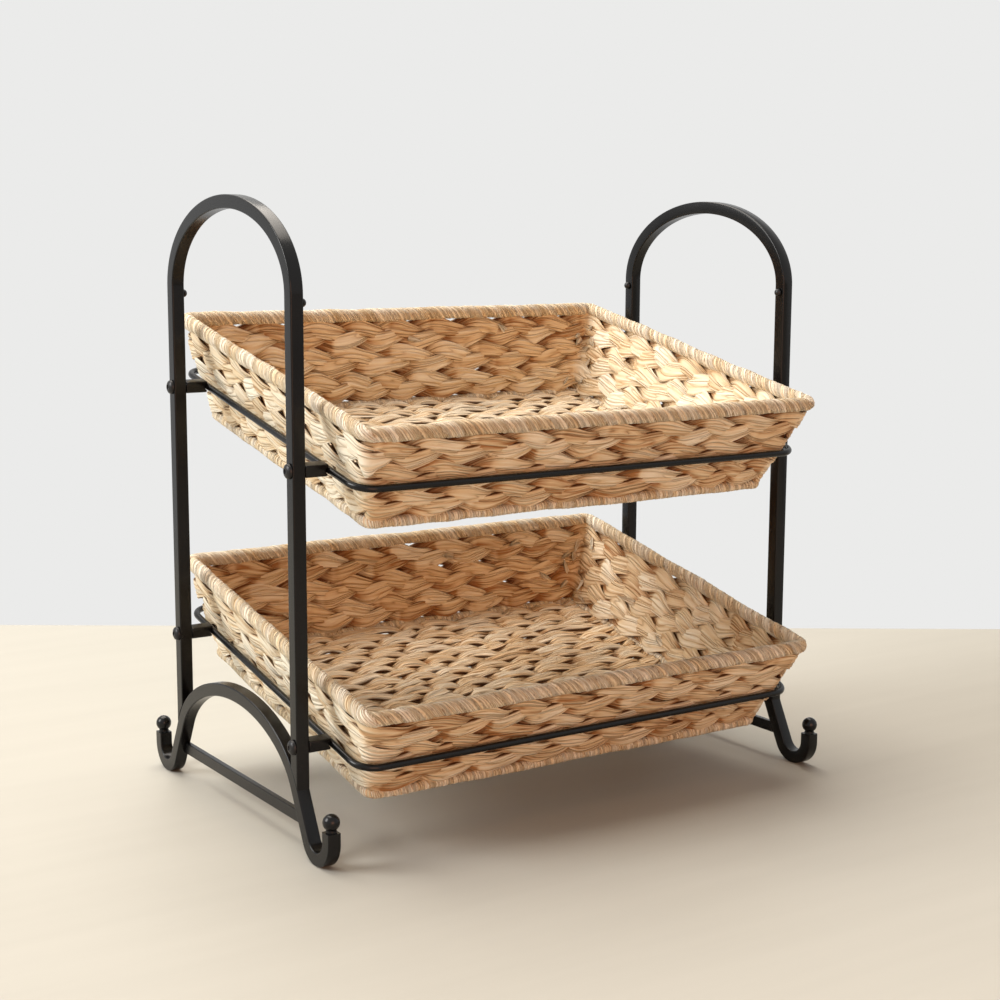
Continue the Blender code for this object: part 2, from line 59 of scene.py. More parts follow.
# A flattened leaf has this many folds across it, and this half width on its map
FOLDS = 5
LEAF_HALF = 5.5 * MM
# Half width and depth of a wall's outer face at the ring's height, and the heights that its rows fill
WALL_HALF_X, WALL_HALF_V = 173.37 * MM, 129.17 * MM
WALL_BOTTOM, WALL_TOP = -24.6 * MM, 31.6 * MM
WALL_ROWS = 3
FLOOR_HALF_X, FLOOR_HALF_V = 156.5 * MM, 112.0 * MM
FLOOR_LEVEL = -28.1 * MM
FLOOR_ROWS = 11
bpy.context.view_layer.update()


def box_middle(node):
    """Middle of a CAD node's box."""
    return sum(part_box(node), Vector()) / 2


FRAME_DEPTH = box_middle("left_arch_frame").y
LOWER_RING, UPPER_RING = box_middle("lower_ring"), box_middle("upper_ring")


# Colour and node helpers

def srgb(code):
    """Linear colour of an sRGB hex value such as "d9bf8c"."""
    parts = [int(code[i:i + 2], 16) / 255 for i in (0, 2, 4)]
    return [p / 12.92 if p <= 0.04045 else ((p + 0.055) / 1.055) ** 2.4 for p in parts] + [1.0]


def add(tree, kind, values=None, **links):
    """Adds a shader node of a kind. Values set its inputs or settings. Links join sockets, or nodes by their
    first output, to its inputs, which are given by name or by number, such as i2."""
    node = tree.nodes.new("ShaderNode" + kind)
    for key, value in (values or {}).items():
        if isinstance(key, str) and hasattr(node, key) and key not in node.inputs:
            setattr(node, key, value)
        else:
            node.inputs[key].default_value = value
    for key, source in links.items():
        slot = int(key[1:]) if key[0] == "i" and key[1:].isdigit() else key.replace("_", " ")
        output = source.outputs[0] if isinstance(source, bpy.types.Node) else source
        tree.links.new(output, node.inputs[slot])
    return node


def new_material(name):
    """An empty node material and its tree."""
    material = bpy.data.materials.new(name)
    material.use_nodes = True
    material.node_tree.nodes.clear()
    return material, material.node_tree


def show_and_light(tree, kind, seen, lit):
    """Gives one shader to the camera, gloss and glass, and lights the rack with another."""
    rays = add(tree, "LightPath").outputs
    clear = add(tree, "Math", {"operation": "MAXIMUM"}, i0=rays["Is Camera Ray"], i1=rays["Is Glossy Ray"])
    clear = add(tree, "Math", {"operation": "MAXIMUM"}, i0=clear, i1=rays["Is Transmission Ray"])
    add(tree, kind, Surface=add(tree, "MixShader", Fac=clear, i1=lit, i2=seen))


# Mesh helpers

def unit(vectors):
    """Vectors at length one."""
    return vectors / np.linalg.norm(vectors, axis=-1, keepdims=True)


def wander(rng, turn, low, high, count=5):
    """A smooth random run of about -1 to 1 that meets itself where turn goes from 0 to 1."""
    total = 0.0
    for _ in range(count):
        total = total + np.sin(2 * pi * (rng.integers(low, high + 1) * turn + rng.random()))
    return total / (0.5 * count)


def loop_table(half_x, half_v, radius):
    """Arc length, place and outward angle round a rounded rectangle, counter-clockwise from above."""
    places = []
    for quarter, (sx, sv) in enumerate([(1, -1), (1, 1), (-1, 1), (-1, -1)]):
        for step in range(17):
            angle = (quarter - 1) * pi / 2 + step * pi / 32
            places.append((sx * (half_x - radius) + radius * cos(angle),
                           sv * (half_v - radius) + radius * sin(angle), angle))
    places.append((places[0][0], places[0][1], places[0][2] + 2 * pi))
    table = np.array(places)
    steps = np.hypot(np.diff(table[:, 0]), np.diff(table[:, 1]))
    return np.concatenate([[0.0], np.cumsum(steps)]), table


def walk_loop(half_x, half_v, radius, count):
    """Steps round a rounded rectangle, closer at its corners: the whole length, and each step's length along,
    place and outward direction."""
    lengths, table = loop_table(half_x, half_v, radius)
    spans = np.diff(lengths)
    crowding = np.where(np.abs(np.diff(table[:, 2])) > 1e-6, 3.0, 1.0)
    effort = np.concatenate([[0.0], np.cumsum(spans * crowding)])
    along = np.interp(np.linspace(0.0, effort[-1], count, endpoint=False), effort, lengths)
    x, v, angle = [np.interp(along, lengths, column) for column in table.T]
    return lengths[-1], along, np.stack([x, v], 1), np.stack([np.cos(angle), np.sin(angle)], 1)


def tube_mesh(name, rings, closed, along, around, attributes):
    """A tube through rings of points, with point attributes and a UV map in metres. Around is one row of
    places from seam to seam, or a row for each ring."""
    n, k = rings.shape[:2]
    spans = n if closed else n - 1
    i, j = np.meshgrid(np.arange(spans), np.arange(k), indexing="ij")
    i2, j2 = (i + 1) % n, (j + 1) % k
    quads = np.stack([i * k + j, i * k + j2, i2 * k + j2, i2 * k + j], -1).reshape(-1, 4)
    around = np.broadcast_to(around, (spans + 1, k + 1))
    corners = ((i, j), (i, j + 1), (i + 1, j + 1), (i + 1, j))
    uv = np.stack([np.stack([along[a], around[a, b]], -1) for a, b in corners], 2).reshape(-1, 2)
    if not closed:
        c = np.arange(k // 2 - 1)
        cap = np.stack([c, c + 1, k - 2 - c, k - 1 - c], -1)
        quads = np.concatenate([quads, cap + (n - 1) * k, cap[:, ::-1]])
        uv = np.concatenate([uv, np.zeros((len(cap) * 8, 2))])
    mesh = bpy.data.meshes.new(name)
    mesh.vertices.add(n * k)
    mesh.vertices.foreach_set("co", rings.reshape(-1).astype(np.float32))
    mesh.loops.add(len(quads) * 4)
    mesh.loops.foreach_set("vertex_index", quads.reshape(-1).astype(np.int32))
    mesh.polygons.add(len(quads))
    mesh.polygons.foreach_set("loop_start", np.arange(0, len(quads) * 4, 4, dtype=np.int32))
    mesh.update(calc_edges=True)
    mesh.uv_layers.new(name="lie").data.foreach_set("uv", uv.reshape(-1).astype(np.float32))
    for key, values in attributes.items():
        layer = mesh.attributes.new(key, "FLOAT", "POINT")
        layer.data.foreach_set("value", values.reshape(-1).astype(np.float32))
    mesh.shade_smooth()
    return mesh


def link_object(name, data):
    """An object for a mesh, a light or a camera."""
    piece = bpy.data.objects.new(name, data)
    bpy.context.scene.collection.objects.link(piece)
    return piece


def show(name, mesh, material):
    """An object at the origin for a finished mesh."""
    mesh.name = name
    piece = link_object(name, mesh)
    mesh.materials.clear()
    mesh.materials.append(material)
    return piece


def join_meshes(name, meshes, material):
    """One object from several meshes that keep their UV maps and attributes."""
    bpy.ops.object.select_all(action="DESELECT")
    parts = [show(name, mesh, material) for mesh in meshes]
    for part in parts:
        part.select_set(True)
    bpy.context.view_layer.objects.active = parts[0]
    if len(parts) > 1:
        bpy.ops.object.join()
    parts[0].name = name
    parts[0].data.name = name
    return parts[0]


def place_in_mesh(piece, matrix):
    """Moves a piece's place into its mesh, so its object stays at the origin."""
    piece.data.transform(matrix)
    piece.matrix_world = Matrix.Identity(4)
    if matrix.determinant() < 0:
        piece.data.flip_normals()
    return piece


# Sizes and colours

class RackFrameSettings(bpy.types.PropertyGroup):
    bar: FloatProperty(name="Bar", description="Side of the square bar", default=9 * MM, unit="LENGTH")
    bar_edge: FloatProperty(
        name="Bar edge", description="Radius of the bar's rolled edges", default=0.85 * MM, unit="LENGTH")
    spacing: FloatProperty(
        name="Frame spacing", description="Middle to middle of the side frames",
        default=400 * MM, unit="LENGTH")
    reach: FloatProperty(
        name="Upright reach", description="From a frame's middle to an upright's middle",
        default=90 * MM, unit="LENGTH")
    middle: FloatProperty(
        name="Frame middle", description="Depth at which the frames' middle stands",
        default=FRAME_DEPTH, unit="LENGTH")
    spring: FloatProperty(
        name="Arch spring", description="Height at which the arch starts", default=354 * MM, unit="LENGTH")
    rise: FloatProperty(
        name="Arch rise", description="Rise of the arch over its spring", default=57 * MM, unit="LENGTH")
    apex: FloatProperty(
        name="Low arch", description="Height of the low arch's centre line", default=83.5 * MM, unit="LENGTH")
    low_rise: FloatProperty(
        name="Low arch rise", description="Half height of the low arch's ellipse",
        default=56.5 * MM, unit="LENGTH")
    outset: FloatProperty(
        name="Low arch outset", description="By which the low arch is wider than the uprights",
        default=2.9 * MM, unit="LENGTH")
    splay: FloatProperty(
        name="Leg splay", description="Lean of the legs from upright", default=radians(27), unit="ROTATION")
    foot: FloatProperty(
        name="Foot radius", description="Radius of the upturned foot's centre line",
        default=14 * MM, unit="LENGTH")
    foot_flat: FloatProperty(
        name="Foot flat", description="Angle of the foot that stands flat",
        default=radians(12), unit="ROTATION")
    tip: FloatProperty(
        name="Foot tip", description="Height of the bar's end under the ball", default=25.3 * MM, unit="LENGTH")
    wire: FloatProperty(
        name="Ring wire", description="Radius of the ring's round wire", default=2.3 * MM, unit="LENGTH")
    coat: FloatVectorProperty(
        name="Powder coat", description="Colour of the powder-coated steel",
        default=srgb("09090a")[:3], subtype="COLOR")
    oxide: FloatVectorProperty(
        name="Black oxide", description="Colour of the screws", default=srgb("1d1d1f")[:3], subtype="COLOR")


class RackBasketSettings(bpy.types.PropertyGroup):
    tilt: FloatProperty(
        name="Tilt", description="Lean of both baskets toward the front", default=radians(12), unit="ROTATION")
    flare: FloatProperty(
        name="Flare", description="Outward lean of the walls", default=radians(17.8), unit="ROTATION")
    lower: FloatProperty(
        name="Lower ring", description="Height of the lower ring's middle", default=LOWER_RING.z, unit="LENGTH")
    upper: FloatProperty(
        name="Upper ring", description="Height of the upper ring's middle", default=UPPER_RING.z, unit="LENGTH")
    middle: FloatProperty(
        name="Ring middle", description="Depth at which the rings' middle lies",
        default=LOWER_RING.y, unit="LENGTH")
    stitch: FloatProperty(
        name="Plait pitch", description="Length in which one strand crosses and comes back",
        default=109 * MM, unit="LENGTH")
    tightening: FloatProperty(
        name="Tightening", description="Share by which the plait is tighter on the short walls", default=0.14)
    strand_width: FloatProperty(
        name="Strand half width", description="Half width of one leaf strand", default=5.5 * MM, unit="LENGTH")
    strand_depth: FloatProperty(
        name="Strand half depth", description="Half thickness of one leaf strand",
        default=1.6 * MM, unit="LENGTH")
    wrap: FloatProperty(
        name="Wrap pitch", description="Width of one turn of leaf round the rim", default=8 * MM, unit="LENGTH")
    seed: IntProperty(name="Seed", description="Start of the leaf's random lie", default=7)


class RackStageSettings(bpy.types.PropertyGroup):
    table: FloatVectorProperty(
        name="Table", description="Colour of the table top", default=srgb("b9b7ae")[:3], subtype="COLOR")
    backdrop: FloatVectorProperty(
        name="Backdrop", description="Colour behind the rack", default=srgb("ebebea")[:3], subtype="COLOR")
    lens: FloatProperty(
        name="Lens", description="Focal length on a 36 mm sensor, in millimetres", default=62.94)


# Materials

def finished_steel(name, colour, worn, grain, patch, gloss, relief, shine):
    """Steel under a dark finish. Grain and patch are the scale and detail of its relief and its tone, gloss the
    roughness of bright and worn places, and relief the bump's strength and height."""
    if name in bpy.data.materials:
        return bpy.data.materials[name]
    material, tree = new_material(name)
    place = add(tree, "TexCoord").outputs["Object"]
    fine = add(tree, "TexNoise", {"Scale": grain[0], "Detail": grain[1]}, Vector=place)
    broad = add(tree, "TexNoise", {"Scale": patch[0], "Detail": patch[1]}, Vector=place)
    rough = add(tree, "MapRange", {"From Min": 0.3, "From Max": 0.7, "To Min": gloss[0], "To Max": gloss[1]},
                Value=broad)
    tint = add(tree, "Mix", {"data_type": "RGBA", 6: list(colour) + [1.0], 7: srgb(worn)}, Factor=broad)
    bump = add(tree, "Bump", {"Strength": relief[0], "Distance": relief[1]}, Height=fine)
    shader = add(tree, "BsdfPrincipled", shine, Base_Color=tint.outputs[2], Roughness=rough, Normal=bump)
    add(tree, "OutputMaterial", Surface=shader)
    return material


def powder_coated_steel():
    """Mild steel bar, powder coated satin black: even, with a faint orange peel that breaks up highlights."""
    # Orange peel of cured powder is about 1 mm across. Handling leaves duller patches some 30 mm wide
    return finished_steel("powder_coated_steel", bpy.context.scene.rack_frame.coat, "0e0e0f",
                          grain=(900.0, 2.0), patch=(30.0, 3.0), gloss=(0.20, 0.28), relief=(0.05, 0.2 * MM),
                          shine={"IOR": 1.5, "Specular IOR Level": 0.28})


def black_oxide_steel():
    """Screw of black-oxide steel: thin dark film over metal, whose edge catches more light than the frame."""
    # Forging scale shows as grains of about 0.5 mm, in its relief and in its tone
    return finished_steel("black_oxide_steel", bpy.context.scene.rack_frame.oxide, "2c2b2b",
                          grain=(2000.0, 2.0), patch=(2000.0, 2.0), gloss=(0.28, 0.42), relief=(0.1, 0.1 * MM),
                          shine={"Metallic": 0.6})


def dried_leaf(name, dark, middle, pale, crease, fold_width, fold_shade_strength):
    """Dried leaf, twisted by hand: silky fibres along the strand, painted highlights on its fold crowns and
    painted brown shade in its creases.
    """
    if name in bpy.data.materials:
        return bpy.data.materials[name]
    material, tree = new_material(name)
    lie = add(tree, "UVMap", {"uv_map": "lie"})
    tone = add(tree, "Attribute", {"attribute_name": "tone"}).outputs["Fac"]
    brown_and_shade_input = add(tree, "Attribute", {"attribute_name": "crease"}).outputs["Fac"]
    # Fibres some 40 mm long. Real ones are finer than 0.5 mm, and these are 1.1 mm across so that they show
    stretch = add(tree, "Mapping", {"Scale": (25.0, 900.0, 1.0)}, Vector=lie)
    flat = {"noise_dimensions": "2D", "Scale": 1.0}
    fibre = add(tree, "TexNoise", {**flat, "Detail": 3.0, "Roughness": 0.6}, Vector=stretch)
    # Streaks of leaf colour, 3 mm across
    wide = add(tree, "Mapping", {"Scale": (20.0, 360.0, 1.0)}, Vector=lie)
    streak = add(tree, "TexNoise", {**flat, "Detail": 2.0}, Vector=wide)
    # Folds of the flattened leaf: rounded lobes 2 to 3 mm wide with sharp valleys, which wander along it
    sway = add(tree, "Mapping", {"Scale": (18.0, 230.0, 1.0), "Location": (3.1, 7.7, 0.0)}, Vector=lie)
    bend = add(tree, "TexNoise", {**flat, "Detail": 1.0}, Vector=sway)
    across = add(tree, "SeparateXYZ", Vector=lie)
    turn = add(tree, "Math", {"operation": "MULTIPLY", 1: pi / fold_width}, i0=across.outputs["Y"])
    scaled = {"operation": "MULTIPLY_ADD"}
    phase = add(tree, "Math", {**scaled, 1: 13.0}, i0=bend, i2=turn)
    swing = add(tree, "Math", {"operation": "SINE"}, i0=phase)
    lobe = add(tree, "Math", {"operation": "ABSOLUTE"}, i0=swing)
    line = add(tree, "MapRange", {"From Max": 0.27, "To Min": 1.0, "To Max": 0.0}, Value=lobe)
    # The strand's tone with its painted light, its streaks, the painted highlight on the folds' crowns and the
    # fibres add up to how pale the leaf is
    blend = add(tree, "Math", {**scaled, 1: 0.5}, i0=streak, i2=tone)
    crown = add(tree, "Math", {**scaled, 1: 0.22}, i0=lobe, i2=blend)
    shade = add(tree, "Math", {**scaled, 1: 0.65}, i0=fibre, i2=crown)
    level = add(tree, "MapRange", {"From Min": 0.82, "From Max": 1.62}, Value=shade)
    leaf = add(tree, "ValToRGB", Fac=level)
    leaf.color_ramp.elements.new(0.45)
    for element, code in zip(leaf.color_ramp.elements, (dark, middle, pale)):
        element.color = srgb(code)
    # Painted shade: the folds' valleys, stronger in some streaks, and the attribute's painted shade and brown
    # edges take the crease colour
    patchy = add(tree, "MapRange", {"From Min": 0.38, "From Max": 0.62, "To Max": fold_shade_strength}, Value=streak)
    depth = add(tree, "Math", {**scaled, "use_clamp": True}, i0=line, i1=patchy, i2=brown_and_shade_input)
    mix = add(tree, "Mix", {"data_type": "RGBA", 7: srgb(crease)}, Factor=depth, i6=leaf)
    ripple = add(tree, "Math", {**scaled, 1: 0.35}, i0=fibre, i2=lobe)
    bump = add(tree, "Bump", {"Strength": 0.9, "Distance": 0.9 * MM}, Height=ripple)
    gloss = add(tree, "MapRange", {"To Min": 0.66, "To Max": 0.5}, Value=fibre)
    shader = add(tree, "BsdfPrincipled", {"IOR": 1.45, "Specular IOR Level": 0.35},
                 Base_Color=mix.outputs[2], Roughness=gloss, Normal=bump)
    add(tree, "OutputMaterial", Surface=shader)
    return material


# The fourth colour of each leaf is the brown of its painted shade in creases, gaps and deep places, and of its
# browned edges
def plait_leaf():
    """Seagrass leaf of the walls."""
    return dried_leaf("plaited_dried_leaf", "a87545", "e2c8a0", "f7eed9", "6a3f1a", 2.6 * MM, 0.4)


def floor_leaf():
    """Leaf of the floors, warmer and paler than the walls': painted warm light that bounces inside the basket.
    """
    return dried_leaf("plaited_floor_leaf", "aa723c", "f2d0a0", "fef0d6", "5e3415", 2.6 * MM, 0.5)


def binding_leaf():
    """Paler split leaf wound round the rims and the bottom edges."""
    return dried_leaf("wound_split_leaf", "cca97c", "ead5b0", "f6ecd8", "8a6038", 1.5 * MM, 0.4)


# Basket shapes

class Tier:
    """Directions and middle of one tilted basket."""

    def __init__(self, name, height):
        sizes = bpy.context.scene.rack_basket
        self.name = name
        self.body = name + "_basket"
        # Painted shade: the lower basket's floor and right wall are darker, where the upper basket shades them
        self.shade_from_upper_basket = 0.12 if name == "lower" else 0.0
        self.origin = np.array([0.0, sizes.middle, height])
        self.v = np.array([0.0, cos(sizes.tilt), sin(sizes.tilt)])
        self.n = np.array([0.0, -sin(sizes.tilt), cos(sizes.tilt)])

    def place(self, flat, w):
        """World places of points in the tier's own plane, w above the ring."""
        w = np.asarray(w)[..., None]
        return self.origin + flat[..., 0:1] * X_AXIS + flat[..., 1:2] * self.v + w * self.n

    def turn(self, flat):
        """World directions of directions in the tier's own plane."""
        return flat[..., 0:1] * X_AXIS + flat[..., 1:2] * self.v

    def wall_turn(self, flat_out):
        """World directions out of the leaning wall and up along it."""
        flare = bpy.context.scene.rack_basket.flare
        outward = self.turn(flat_out)
        return outward * cos(flare) - self.n * sin(flare), outward * sin(flare) + self.n * cos(flare)

    def draws(self, kind, *row):
        """The random draws of one kind of piece, and of one row of it."""
        return np.random.default_rng([bpy.context.scene.rack_basket.seed, kind + ord(self.name[0]), *row])

    def round_rings(self, centre, flat_out, theta, radius):
        """Rings of points round a loop's centre line, at angles from straight outward."""
        outward = self.turn(flat_out)
        return centre[:, None] + radius * (outward[:, None] * np.cos(theta)[None, :, None]
                                           + self.n * np.sin(theta)[None, :, None])


def tiers():
    """The lower and the upper basket's places."""
    return [Tier(name, getattr(bpy.context.scene.rack_basket, name)) for name in ("lower", "upper")]


def wall_half_sizes(w, depth):
    """Half the width and depth of a loop that lies a depth inside the wall's face, w above the ring."""
    flare = bpy.context.scene.rack_basket.flare
    inset = depth / cos(flare)
    return WALL_HALF_X - inset + w * tan(flare), WALL_HALF_V - inset + w * tan(flare)


def strand_rings(rng, centre, out, turn, closed, width, depth, around, skew=None, swell=None):
    """Rings of points for one flattened leaf strand, the sine of its way round, and its map across the leaf.
    Skew moves its outer face sideways and swell widens it, and its inner face the other way."""
    if closed:
        tangent = unit(np.roll(centre, -1, 0) - np.roll(centre, 1, 0))
    else:
        tangent = unit(np.gradient(centre, axis=0))
    side = unit(np.cross(out, tangent))
    face = np.cross(tangent, side)
    theta = 2 * pi * (np.arange(around) + 0.5) / around
    c, s = np.cos(theta)[None], np.sin(theta)[None]
    drift = 0.16 * wander(rng, turn, 2, 9)[:, None]
    across = np.where(s > 0, c, 4.0 - c) + drift * (1.0 - np.abs(c))
    wave = np.abs(np.sin(FOLDS * pi / 2 * across))
    a = width[:, None] * np.sign(c) * np.abs(c) ** 0.9
    if skew is not None:
        a = a * (1.0 + swell[:, None] * s) + skew[:, None] * s
    b = depth[:, None] * np.sign(s) * np.abs(s) ** 0.5 * (0.90 + 0.40 * (wave - 0.5))
    rings = centre[:, None] + side[:, None] * a[..., None] + face[:, None] * b[..., None]
    lie = np.concatenate([across, across[:, :1] + 8.0], 1) * LEAF_HALF
    return rings, s, np.concatenate([lie, lie[:1]]) if closed else lie


def crossing(phi):
    """How far a strand lies over the others, -1 to 1: it stays over or under, and dives quickly between."""
    return np.tanh(-1.7 * np.sin(2 * phi)) / np.tanh(1.7)


def crossways(phi):
    """How far a strand lies to one side of its plait, about -1 to 1: nearly straight from edge to edge."""
    return (np.sin(phi) - np.sin(3 * phi) / 9) * 0.93


def strand_tone_and_shade(rng, facing, phi, over, rise, depth, tone_and_light_lift):
    """Tone and shade: an arm has its own tone, crowns get painted light, edges are browned with painted contact
    shade, and what lies deep gets painted shade.
    """
    arm = np.floor(phi / pi - 0.5).astype(int)
    lot = rng.random(512)
    arm_tone = lot[arm % len(lot)] - 0.5
    height = rise * over[:, None] * np.sign(facing) + depth[:, None] * np.abs(facing) ** 0.5
    high = np.clip(height / (rise + np.mean(depth)), -0.4, 1.1)
    # Painted light: the higher a point lies, the paler its tone
    tone = 0.5 + tone_and_light_lift + 0.42 * arm_tone[:, None] + 0.30 * (high - 0.62)
    # Browned leaf edges with painted contact shade on them, and painted shade on what lies deep
    edge = np.clip((0.42 - np.abs(facing)) / 0.40, 0.0, 1.0)
    deep_shade = np.clip((0.18 - high) / 0.50, 0.0, 1.0)
    return tone, np.clip(edge + deep_shade, 0.0, 1.0)


def wall_row(rng, tier, row):
    """One plait that runs round the wall once: three strands that cross over and under each other."""
    sizes = bpy.context.scene.rack_basket
    middle_depth, corner, steps, around = 4.0 * MM, 6.0 * MM, 470, 46
    w = WALL_BOTTOM + (WALL_TOP - WALL_BOTTOM) * (row + 0.5) / WALL_ROWS
    total, along, flat, flat_out = walk_loop(*wall_half_sizes(w, middle_depth), corner, steps)
    share = along / total
    out, up = tier.wall_turn(flat_out)
    base = tier.place(flat, w)
    # The plait is a little tighter on the short walls and its leaf is wider there, and those walls get painted
    # light that makes them paler
    short = np.abs(flat_out[:, 0])
    pace = np.cumsum(np.diff(np.append(along, total)) * (1.0 + sizes.tightening * short))
    advance = np.append(0.0, pace[:-1]) / pace[-1]
    turns = round(pace[-1] / sizes.stitch)
    tone_and_light_lift = 0.14 * short[:, None] - 0.08 - tier.shade_from_upper_basket * np.clip(flat_out[:, :1], 0.0, 1.0)
    lead = rng.random() * 2 * pi
    slip = 0.42 * wander(rng, share, 2, 9)
    rise, reach = 1.6 * MM, 6.1 * MM
    meshes = []
    for strand in range(3):
        phi = 2 * pi * turns * advance + 2 * pi * strand / 3 + lead + slip
        over = crossing(phi)
        lateral = (reach + 0.4 * MM * wander(rng, share, 3, 12)) * crossways(phi)
        centre = base + up * lateral[:, None] + out * (rise * over)[:, None]
        centre += up * (0.45 * MM * wander(rng, share, 5, 30))[:, None]
        # An arm is wide at the plait's edge and narrow where it dives at its middle
        width = sizes.strand_width * (1.0 - 0.18 * np.cos(2 * phi)) * (1.07 + 0.31 * short)
        width = width * (1.0 + 0.12 * wander(rng, share, 5, 40))
        thick = sizes.strand_depth * (1.0 + 0.08 * wander(rng, share, 5, 40))
        # On both faces an arm reaches the plait's edge as it comes over, and is packed where it runs under
        skew, swell = -2.4 * MM * np.cos(phi), 0.24 * over
        rings, facing, lie = strand_rings(rng, centre, out, share, True, width, thick, around, skew, swell)
        tone, crease = strand_tone_and_shade(rng, facing, phi, over, rise, thick, tone_and_light_lift)
        # On the short walls the painted shade in the creases is 30% weaker
        # The strands' maps lie 2 m apart, so that no two show the same fibres
        meshes.append(tube_mesh("strand", rings, True, np.append(along, total) + strand * 2.0, lie,
                                {"tone": tone, "crease": crease * (1.0 - 0.3 * short[:, None])}))
    return join_meshes(f"{tier.name}_wall_plait_{row + 1}", meshes, plait_leaf())


def leaf_ends(rng, tier):
    """Cut ends of strands that stand off the wall's inner face, most of them in the corners."""
    corners = [(sx, sv) for sx in (-1, 1) for sv in (-1, 1)]
    count, in_corners, inner_depth, steps, around = 46, 32, 7.4 * MM, 12, 12
    meshes = []
    for index in range(count):
        w = rng.uniform(-20.0, 29.0) * MM
        half_x, half_v = wall_half_sizes(w, inner_depth)
        sx, sv = corners[index % 4]
        off = rng.uniform(1.0, 9.0) * MM if index < in_corners else rng.uniform(20.0, 200.0) * MM
        if rng.random() < 0.5:
            flat, wall, run = (sx * half_x, sv * (half_v - off)), (sx, 0.0), (0.0, -sv)
        else:
            flat, wall, run = (sx * (half_x - off), sv * half_v), (0.0, sv), (-sx, 0.0)
        out, up = tier.wall_turn(np.array(wall))
        lean = rng.uniform(-1.1, 1.1)
        heading = tier.turn(np.array(run)) * cos(lean) + up * sin(lean)
        length = rng.uniform(9.0, 19.0) * MM
        t = np.linspace(0.0, 1.0, steps)
        curl = (rng.uniform(2.0, 7.0) * t ** 1.6 - 1.2) * MM
        centre = tier.place(np.array(flat), w) + heading * (length * t)[:, None] - out * curl[:, None]
        width = rng.uniform(1.3, 3.0) * MM * np.clip(1.05 - t ** 2.4, 0.08, 1.0)
        thick, inward = np.full(steps, 0.45 * MM), np.tile(-out, (steps, 1))
        rings, _, lie = strand_rings(rng, centre, inward, 0.9 * t, False, width, thick, around)
        tone = np.full(rings.shape[:2], 0.55 + 0.35 * rng.random())
        colours = {"tone": tone, "crease": 0.25 * (1.0 - tone)}
        meshes.append(tube_mesh("end", rings, False, length * t + index, lie, colours))
    return join_meshes(f"{tier.name}_leaf_ends", meshes, plait_leaf())


def floor_rows(rng, tier, first, last):
    """Plaits that lie side by side across the floor, looser than the wall's."""
    pitch = 2 * FLOOR_HALF_V / FLOOR_ROWS
    stitch, rise, reach, spread, steps, around = 100 * MM, 1.5 * MM, 6.5 * MM, 2.9 * MM, 140, 12
    x = np.linspace(-FLOOR_HALF_X, FLOOR_HALF_X, steps)
    share = 0.9 * (x + FLOOR_HALF_X) / (2 * FLOOR_HALF_X)
    out = np.tile(tier.n, (steps, 1))
    meshes = []
    for row in range(first, last):
        v = -FLOOR_HALF_V + (row + 0.5) * pitch
        lead = rng.random() * 2 * pi
        slip = 0.55 * wander(rng, share, 1, 4)
        for strand in range(3):
            phi = 2 * pi * (x / stitch) + 2 * pi * strand / 3 + lead + slip
            over = crossing(phi)
            lateral = reach * np.sin(phi - 0.35) + 0.5 * MM * wander(rng, share, 2, 9)
            # Each strand is a bundle of three narrow leaves that wander side by side
            for leaf in (-1, 0, 1):
                offset = leaf * spread * (0.88 + 0.12 * over) + 0.8 * MM * wander(rng, share, 3, 12)
                height = rise * over + 0.4 * MM * wander(rng, share, 3, 12) - abs(leaf) * 0.35 * MM
                centre = tier.place(np.stack([x, v + lateral + offset], 1), FLOOR_LEVEL + height)
                width = 3.0 * MM * (1.0 + 0.16 * wander(rng, share, 3, 16))
                thick = 1.35 * MM * (1.0 + 0.12 * wander(rng, share, 3, 16))
                rings, facing, lie = strand_rings(rng, centre, out, share, False, width, thick, around)
                # Painted light: floors are paler, as light from above falls on them, and the lower floor gets
                # painted shade; each leaf's tone also differs at random
                tone_and_light_lift = 0.19 - tier.shade_from_upper_basket + 0.14 * (rng.random() - 0.5)
                tone, crease = strand_tone_and_shade(rng, facing, phi, over, rise, thick, tone_and_light_lift)
                along = x + row + strand * 2.0 + leaf * 0.3
                meshes.append(tube_mesh("strand", rings, False, along, lie, {"tone": tone, "crease": crease}))
    return join_meshes(f"{tier.name}_floor_plaits_{first + 1}_to_{last}", meshes, floor_leaf())


